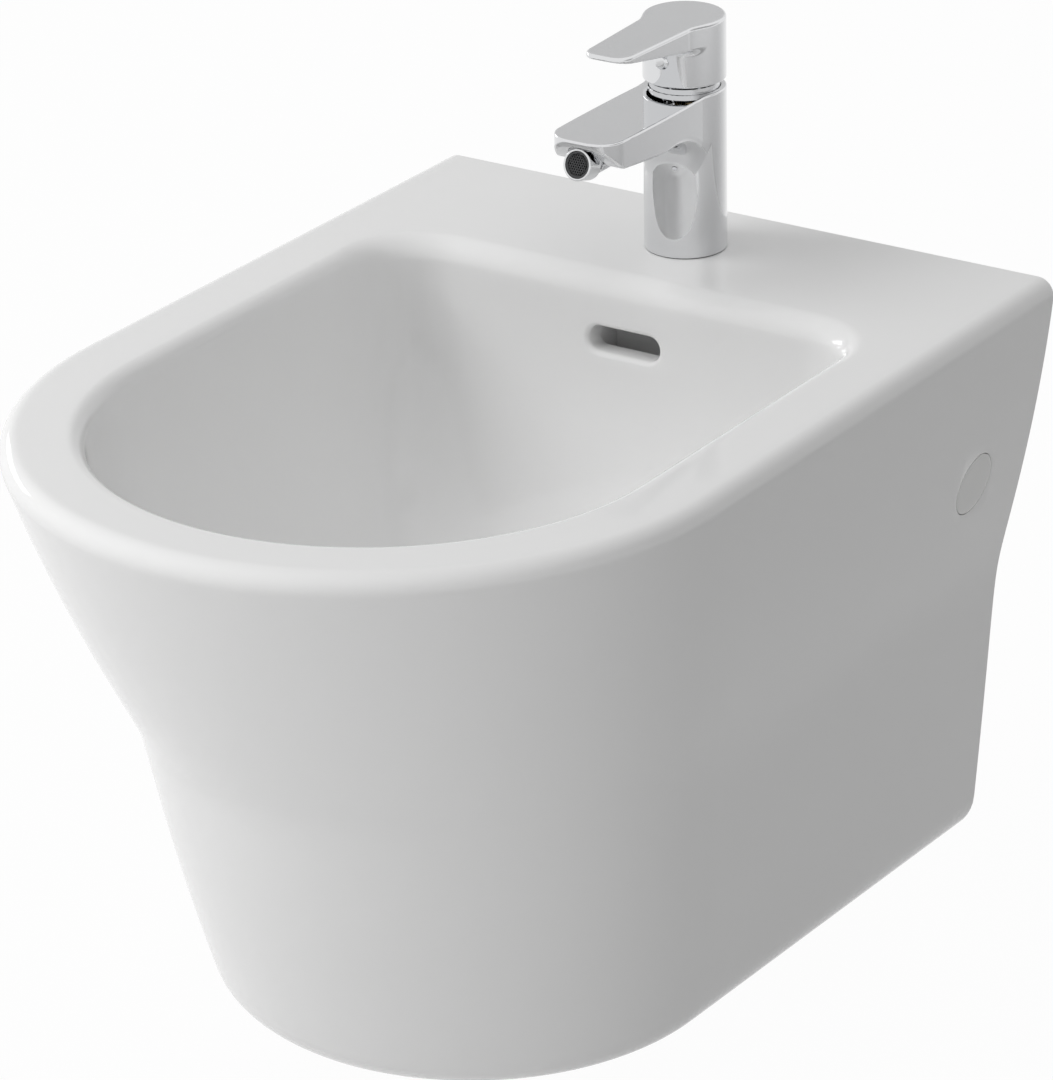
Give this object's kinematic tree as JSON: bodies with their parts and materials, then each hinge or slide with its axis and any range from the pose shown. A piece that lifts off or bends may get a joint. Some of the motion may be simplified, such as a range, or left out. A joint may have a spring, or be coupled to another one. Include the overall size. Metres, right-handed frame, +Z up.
{
  "type": "wall-hung bidet with mixer tap",
  "caption": "Wall-hung ceramic bidet with a deep basin, overflow slot and push-open waste, and a chrome single-lever mixer with a ball-jointed nozzle.",
  "frame": {"origin": "on the wall plane, midway between the two wall fixing holes, 100 mm below the rim", "axes": "+Y into the wall, -Y towards the user, +X to the right seen from the front, +Z up"},
  "size_m": [0.3906, 0.5301, 0.4753],
  "materials": {
    "ceramic": "glossy white glaze",
    "cap_plastic": "glossy white",
    "zinc_steel": "zinc-plated",
    "nylon": "moulded",
    "chrome": "polished chrome plate",
    "rubber": "matte",
    "brass": "machined",
    "disc_ceramic": "lapped",
    "dark_plastic": "moulded"
  },
  "bodies": {
    "bidet": {"bidet_body": "ceramic", "side_cap_left": "cap_plastic", "side_cap_right": "cap_plastic", "wall_bracket_left": "zinc_steel", "wall_bracket_right": "zinc_steel", "side_sleeves": "nylon", "side_screws": "zinc_steel", "mixer_body": "chrome", "base_seal": "rubber", "fixing_stud": "zinc_steel", "clamp_gasket": "rubber", "clamp_plate": "zinc_steel", "clamp_nut": "brass", "cartridge_base": "nylon", "port_seals": "rubber", "fixed_disc": "disc_ceramic", "cartridge_housing": "nylon", "cartridge_nut": "brass", "cover_ring": "chrome", "neck_seal": "rubber", "waste_body": "chrome", "flange_seal": "rubber", "waste_gasket": "rubber", "waste_nut": "brass", "plug_spring": "zinc_steel"},
    "swivel": {"turning_block": "nylon", "pivot_pin": "zinc_steel"},
    "lever": {"lever_handle": "chrome", "lever_stem": "brass", "grub_screw": "zinc_steel", "index_plug": "chrome"},
    "disc": {"moving_disc": "disc_ceramic", "disc_carrier": "nylon"},
    "nozzle_swivel": {"nozzle_ball": "brass"},
    "nozzle": {"nozzle_barrel": "chrome", "ball_seat": "nylon", "aerator_washer": "rubber", "aerator_insert": "dark_plastic"},
    "plug": {"plug_cap": "chrome", "plug_seal": "rubber", "plug_stem": "brass"}
  },
  "joints": [
    {"name": "handle_swing", "type": "hinge", "parent": "bidet", "child": "swivel", "pos_m": [0, -0.055, 0.184], "axis": [0, 0, 1], "range_deg": [-45, 45]},
    {"name": "handle_lift", "type": "hinge", "parent": "swivel", "child": "lever", "pos_m": [0, -0.055, 0.184], "axis": [-1, 0, 0], "range_deg": [0, 20]},
    {"name": "disc_slide", "type": "slide", "parent": "swivel", "child": "disc", "axis": [0, -1, 0], "range_m": [0, 0.005]},
    {"name": "nozzle_turn", "type": "hinge", "parent": "bidet", "child": "nozzle_swivel", "pos_m": [0, -0.1528, 0.1768], "axis": [0, -1, 0], "range_deg": [-180, 180]},
    {"name": "nozzle_tilt", "type": "hinge", "parent": "nozzle_swivel", "child": "nozzle", "pos_m": [0, -0.1528, 0.1768], "axis": [1, 0, 0], "range_deg": [0, 30]},
    {"name": "plug_slide", "type": "slide", "parent": "bidet", "child": "plug", "axis": [0, 0, -1], "range_m": [0, 0.006], "deforming": ["plug_spring"]}
  ],
  "couplings": [
    {"joint": "disc_slide", "follows": "handle_lift", "m_per_rad": 0.014}
  ]
}
